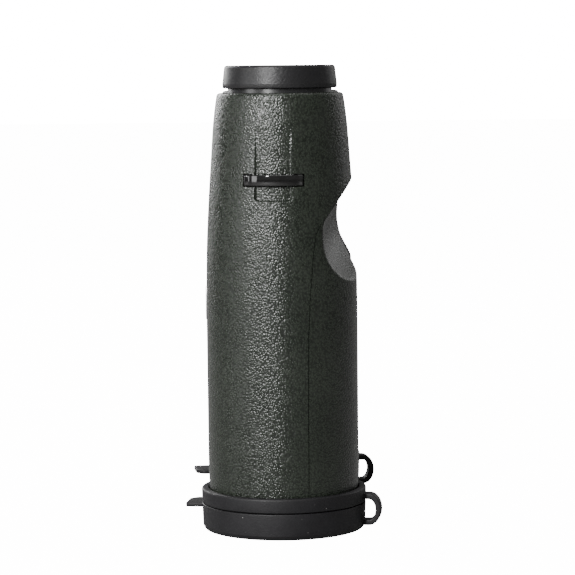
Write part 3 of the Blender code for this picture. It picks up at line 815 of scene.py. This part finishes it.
for side in SIDES:
    sleeve = turned("eyecup_collar_" + side, [
        (0.0163, 0.1346), (0.0173, 0.1346, 0.0003), (0.0173, 0.1486, 0.0003), (0.0165, 0.1490),
        (0.0165, 0.1535, 0.0003), (0.0153, 0.1535, 0.0003), (0.0153, 0.1392), (0.0163, 0.1392),
    ], 160)
    hand_over(set_in_place(sleeve, side), sleeve_black, side + "_eyecup", "sleeve_black", "eyecup_sleeve_" + side)
    cup = turned("eyecup_cup_" + side, [
        (0.0176, 0.1473, 0.0002), (0.0190, 0.1474, 0.0005), (0.0191, 0.1488, 0.0006), (0.0184, 0.1550, 0.0012),
        (0.0142, 0.1550, 0.0008), (0.0138, 0.1538, 0.0004), (0.0168, 0.1538), (0.0168, 0.1492),
        (0.0176, 0.1488),
    ], 160)
    hand_over(set_in_place(cup, side), cup_rubber, side + "_eyecup", "eyecup_black", "eyecup_rubber_" + side)

# ---------------------------------------------------------------------------
# The fold axis: a brass sleeve in the upper knuckles, a ground steel pin through the
# lower ones, and a blackened cap pressed into the foot of the lower knuckle.
# ---------------------------------------------------------------------------
steel = finish("ground_steel", (0.42, 0.42, 0.43), (0.58, 0.58, 0.59), (0.22, 0.36),
               metal=1.0, grain=4000, depth=0.000006)


def on_fold_axis(piece):
    return move(piece, Matrix.Translation((FOLD_X, 0, 0)))


hinge_finishes = {"hinge_sleeve": brass, "hinge_pin": steel, "focus_nut": brass, "focus_spindle": steel}
for node, material in hinge_finishes.items():
    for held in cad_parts[node].material_slots:
        held.material = material
end_cap = turned("hinge_foot_cap", [
    (0, 0.0194), (0.0036, 0.0194, 0.0002), (0.0042, 0.0190, 0.0002), (0.0060, 0.0190, 0.0005),
    (0.0070, 0.0199, 0.0005), (0.0070, 0.0236), (0, 0.0236),
], 96)
hand_over(on_fold_axis(end_cap), black_metal, "left_barrel", "metal_black", "hinge_end_cap")

# ---------------------------------------------------------------------------
# The focus wheel: a blackened metal wheel with a ribbed rubber tyre, and the small
# knurled dioptre dial above it.
# ---------------------------------------------------------------------------
tyre_rubber = finish("wheel_rubber", (0.014, 0.014, 0.015), (0.024, 0.024, 0.025), (0.5, 0.65),
                     grain=3000, depth=0.00005)
WHEEL_RIBS = 24
DIAL_RIBS = 40
wheel = turned("focus_wheel_hub", [
    (0.0019, 0.1290), (0.0102, 0.1290, 0.0006), (0.0102, 0.1303, 0.0002), (0.0092, 0.1303),
    (0.0092, 0.1412), (0.0102, 0.1412, 0.0002), (0.0102, 0.1428, 0.0006), (0.0019, 0.1428),
], 128)
hand_over(on_fold_axis(wheel), black_metal, "focus_drive", "metal_black", "focus_wheel")


def ribbed(name, count, valley, crest, bore, low, high, edge):
    """A ring with rounded ribs round its rim and softened ends."""
    turns = np.linspace(0, math.tau, count * 12, endpoint=False)
    wave = np.clip(0.5 + 1.1 * np.cos(turns * count), 0, 1)
    rim = valley + (crest - valley) * wave * wave * (3 - 2 * wave)
    arc = [(edge * (1 - math.cos(a)), edge * (1 - math.sin(a))) for a in np.linspace(0, math.pi / 2, 6)]
    rows = [(low + up, back) for up, back in arc] + [(high - up, back) for up, back in arc[::-1]]
    rings = [ring(rim - back, turns, height) for height, back in rows]
    rings += [ring(bore, turns, height) for height in (high, low)]
    return wall_of(name, rings)


grip = on_fold_axis(ribbed("focus_wheel_tyre", WHEEL_RIBS, 0.0104, 0.0110, 0.0095, 0.1306, 0.1409, 0.0004))
hand_over(grip, tyre_rubber, "focus_drive", "eyecup_black", "focus_wheel_grip")
dial = on_fold_axis(ribbed("dioptre_ring", DIAL_RIBS, 0.0080, 0.0084, 0.0058, 0.1431, 0.1456, 0.0003))
join(dial, on_fold_axis(turned("dial_top", [
    (0, 0.1432), (0.0062, 0.1432), (0.0062, 0.1458, 0.0002), (0.0052, 0.1458, 0.0002), (0.0050, 0.1454),
    (0, 0.1454),
], 96)))
hand_over(dial, black_metal, "dioptre_dial", "metal_black", "dioptre_dial")

# ---------------------------------------------------------------------------
# The plate: a small blank strip of brushed metal let into the armour of the left barrel
# on the focus wheel side.
# ---------------------------------------------------------------------------
badge = turn(block("blank_plate", (0.0246, 0.0254), (-0.0029, 0.0029), (0.0706, 0.0816)), 178.0)
soften(badge, 0.0002, 2)
hand_over(set_in_place(badge, "left"), steel, "left_barrel", "steel", "badge_plate")

# ---------------------------------------------------------------------------
# The objective covers: matte black rubber, moulded in one with a ring that grips the
# barrel, a round cap, a strap loop that ties the two together and a pull tab opposite.
# ---------------------------------------------------------------------------
COVER_TURN = -8.0
LOOP_WIDTH = 0.0055
LOOP_ROOT = 0.0262
LOOP_X = 0.0290
LOOP_Z = 0.0065
LOOP_OUT = 0.0031
LOOP_UP = 0.0044
STRAP = 0.0019
TAB_LOW = 0.0072
TAB_HIGH = 0.0086


def dusty_rubber(name):
    """Matte black rubber with a scatter of pale dust specks."""
    material = finish(name, (0.0056, 0.0053, 0.0062), (0.0088, 0.0083, 0.0097), (0.48, 0.60),
                      grain=2200, depth=0.00010, tone=80, gloss=0.28)
    nodes = material.node_tree.nodes
    links = material.node_tree.links
    shader = nodes["Principled BSDF"]
    place = nodes["Texture Coordinate"].outputs["Object"]
    specks = nodes.new("ShaderNodeTexVoronoi")
    specks.inputs["Scale"].default_value = 420.0
    links.new(place, specks.inputs["Vector"])
    dot = spread_to(nodes, links, specks.outputs["Distance"], 0.045, 0.09, 1.0, 0.0)
    patch = spread_to(nodes, links, noise(nodes, links, place, 90.0), 0.5, 0.62, 0.0, 0.55)
    amount = nodes.new("ShaderNodeMath")
    amount.operation = "MULTIPLY"
    links.new(dot, amount.inputs[0])
    links.new(patch, amount.inputs[1])
    dust = nodes.new("ShaderNodeMix")
    dust.data_type = "RGBA"
    dust.inputs["B"].default_value = (0.30, 0.29, 0.28, 1)
    links.new(amount.outputs[0], dust.inputs["Factor"])
    links.new(nodes["Mix"].outputs["Result"], dust.inputs["A"])
    links.new(dust.outputs["Result"], shader.inputs["Base Color"])
    return material


cover_rubber = dusty_rubber("cover_rubber")


def strap_loop(name):
    """The flat strap that leaves the ring, bows out and returns to the cap."""
    path = [(LOOP_ROOT, LOOP_Z + LOOP_UP)]
    for k in range(25):
        a = math.radians(90 - 180 * k / 24)
        path.append((LOOP_X + LOOP_OUT * math.cos(a), LOOP_Z + LOOP_UP * math.sin(a)))
    path.append((LOOP_ROOT, LOOP_Z - LOOP_UP))
    wide, thick = LOOP_WIDTH / 2, STRAP / 2
    section = rounded([(u * wide, v * thick, 0.0005) for u, v in ((-1, -1), (1, -1), (1, 1), (-1, 1))])
    bm = bmesh.new()
    rings = []
    for i, (x, z) in enumerate(path):
        before = Vector(path[max(i - 1, 0)])
        after = Vector(path[min(i + 1, len(path) - 1)])
        along = (after - before).normalized()
        outward = Vector((-along.y, along.x))
        rings.append([bm.verts.new((x + outward.x * v, u, z + outward.y * v)) for u, v in section])
    for low, high in zip(rings, rings[1:]):
        for k in range(len(section)):
            n = (k + 1) % len(section)
            bm.faces.new((low[k], low[n], high[n], high[k]))
    bm.faces.new(rings[0])
    bm.faces.new(rings[-1])
    return turn(from_bmesh(name, bm), COVER_TURN)


for side, sign in SIDES.items():
    band = turned("cover_band_" + side, [
        (0.0253, 0.0091, 0.0002), (0.0276, 0.0091, 0.0004), (0.0277, 0.0139, 0.0008), (0.0253, 0.0139, 0.0004),
    ], 192)
    hand_over(set_in_place(band, side), cover_rubber, side + "_cover", "cover_black", "cover_ring_" + side)
    cap = turned("cover_lid_" + side, [
        (0, 0.0004), (0.0225, 0.0004, 0.0003), (0.0229, 0.0000, 0.0003), (0.0266, 0.0000, 0.0009),
        (0.0273, 0.0014, 0.0012), (0.0276, 0.0088, 0.0004), (0.0255, 0.0088, 0.0003), (0.0255, 0.0024, 0.0004),
        (0, 0.0024),
    ], 192)
    tab = plate("tab", rounded([
        (0.0266, -0.0060), (0.0327, -0.0060, 0.0012), (0.0327, 0.0032, 0.0018), (0.0304, 0.0060, 0.0014),
        (0.0266, 0.0060),
    ]), TAB_LOW, TAB_HIGH)
    soften(tab, 0.0003, 3)
    move(tab, Matrix.Scale(-1, 4, (0, 1, 0)))
    join(cap, turn(tab, COVER_TURN + 180))
    hand_over(set_in_place(cap, side), cover_rubber, side + "_cover_cap", "cover_black", "cover_cap_" + side)
    loop = set_in_place(strap_loop("cover_loop_" + side), side)
    loop.data.materials.append(cover_rubber)
    loop.data.shade_smooth()
    loop.data.set_sharp_from_angle(angle=math.radians(40))
    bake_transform(loop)
